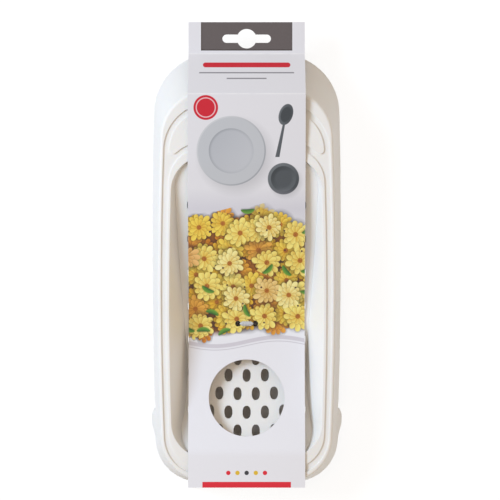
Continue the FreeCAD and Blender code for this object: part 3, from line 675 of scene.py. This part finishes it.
def add_floor():
    """A pale floor, a hair below the object."""
    half = FLOOR_HALF
    mesh = bpy.data.meshes.new("floor")
    corners = [(-half, -half, 0), (half, -half, 0), (half, half, 0), (-half, half, 0)]
    mesh.from_pydata(corners, [], [(0, 1, 2, 3)])
    mesh.materials.append(light_table())
    floor = bpy.data.objects.new("floor", mesh)
    floor.location.z = -FLOOR_DROP
    link(floor)


# ---------------------------------------------------------------- tie

RIBBON_WIDTH = 3.1 * MM
RIBBON_LEG_WIDTH = 1.0 * MM
RIBBON_WAIST = 1.3 * MM  # length over which it narrows towards a leg
RIBBON_WING = 0.24 * MM
RIBBON_CORE = 0.46 * MM
RIBBON_BEND = 0.5 * MM
BEND_STEPS = 6
STRAP_STEPS = 9
WIRE_SHARE = 0.9  # share of the core's half width in which the wire shows


def clear_ribbon():
    paint = Paint("clear_tie", Specular_IOR_Level=0.5, Transmission_Weight=0.35, IOR=1.46)
    paint.colour(paint.mix(paint.noise(cell=1.2), srgb(228, 230, 231), srgb(242, 243, 243)))
    paint.roughness(paint.noise(cell=0.6) * 0.15 + 0.22)
    paint.relief(paint.noise(cell=0.7), strength=0.2, depth=0.04)
    return paint.material


def wire():
    paint = Paint("tie_wire", Metallic=0.7)
    paint.colour(paint.mix(paint.noise(cell=0.8), srgb(172, 172, 174), srgb(200, 200, 202)))
    paint.roughness(paint.noise(cell=0.4) * 0.2 + 0.4)
    paint.relief(paint.noise(cell=0.3), strength=0.2, depth=0.02)
    return paint.material


def rounded_route(corners, radius, steps):
    """Points along straight runs whose corners are rounded."""
    route = [corners[0]]
    for before, corner, after in zip(corners, corners[1:], corners[2:]):
        start = corner - (corner - before).normalized() * radius
        end = corner + (after - corner).normalized() * radius
        for i in range(steps + 1):
            share = i / steps
            route.append(start.lerp(corner, share).lerp(corner.lerp(end, share), share))
    route.append(corners[-1])
    return route


def ribbon_route(low, high):
    """The tie's middle line: up one leg, over the card, evenly stepped, and down the other leg."""
    middle_y = (low.y + high.y) / 2
    shoulder = Vector((high.x - RIBBON_CORE / 2, middle_y, high.z - RIBBON_CORE / 2))
    foot = Vector((shoulder.x, middle_y, low.z))
    mirror = Vector((-1, 1, 1))
    corners = [foot, shoulder, shoulder * mirror, foot * mirror]
    route = rounded_route(corners, RIBBON_BEND, BEND_STEPS)
    cut = BEND_STEPS + 2
    strap = [route[cut - 1].lerp(route[cut], i / STRAP_STEPS) for i in range(1, STRAP_STEPS)]
    return route[:cut] + strap + route[cut:], shoulder


def ribbon_section(width):
    """Outline across the ribbon: two thin wings beside a round core, as (across, up)."""
    half, core, wing = width / 2, RIBBON_CORE / 2, RIBBON_WING / 2
    upper = [(-half, 0), (-half, wing), (-core, wing), (-core / 2, core),
             (core / 2, core), (core, wing), (half, wing), (half, 0)]
    return upper + [(across, -up) for across, up in upper[-2:0:-1]]


def ribbon_mesh(low, high):
    """The ribbon along its route: wide over the card, narrow where it dives into the holes."""
    route, shoulder = ribbon_route(low, high)
    shape = bmesh.new()
    rings = []
    for i, point in enumerate(route):
        before, after = route[max(i - 1, 0)], route[min(i + 1, len(route) - 1)]
        normal = Vector((0, 1, 0)).cross((after - before).normalized())
        flat = min(max((shoulder.x - abs(point.x)) / RIBBON_WAIST, 0), 1)
        eased = flat * flat * (3 - 2 * flat)
        width = RIBBON_LEG_WIDTH + (RIBBON_WIDTH - RIBBON_LEG_WIDTH) * eased
        rings.append([shape.verts.new(point + Vector((0, across, 0)) + normal * up)
                      for across, up in ribbon_section(width)])
    for ring, following in zip(rings, rings[1:]):
        for k in range(len(ring)):
            after_k = (k + 1) % len(ring)
            shape.faces.new((ring[k], ring[after_k], following[after_k], following[k]))
    shape.faces.new(rings[0])
    shape.faces.new(rings[-1])
    bmesh.ops.recalc_face_normals(shape, faces=shape.faces)
    mesh = bpy.data.meshes.new("tie_ribbon")
    shape.to_mesh(mesh)
    shape.free()
    return mesh


def add_tie():
    """A clear ribbon with a wire core in place of the plain bent strip."""
    low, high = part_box("tie")
    mesh = ribbon_mesh(low, high)
    mesh.materials.append(clear_ribbon())
    mesh.materials.append(wire())
    middle_y = (low.y + high.y) / 2
    for face in mesh.polygons:
        face.use_smooth = True
        face_y = sum(mesh.vertices[i].co.y for i in face.vertices) / len(face.vertices)
        on_wire = abs(face_y - middle_y) < RIBBON_CORE / 2 * WIRE_SHARE
        face.material_index = int(on_wire)
    ribbon = bpy.data.objects.new("tie_ribbon", mesh)
    link(ribbon)
    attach(ribbon, "tie")
    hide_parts("tie")


# ---------------------------------------------------------------- build

def dress(node, material):
    slots = nodes[node].data.materials
    slots.clear()
    slots.append(material)


add_camera()
add_world()
for lamp in LAMPS:
    add_softbox(*lamp)
bpy.context.scene.view_settings.view_transform = "Standard"
add_floor()
moulded_white = white_moulding()
dress("tray_frame", moulded_white)
dress("hole_plate", moulded_white)
dress("scraper", dark_moulding())
dress("sleeve_front_panel", front_card())
dress("sleeve_end_panel", plain_card("printed_end", (0, -1, 0)))
dress("sleeve_back_panel", plain_card("printed_back", (0, 0.7, -0.7), dark_from=TAB_CREASE))
add_tie()
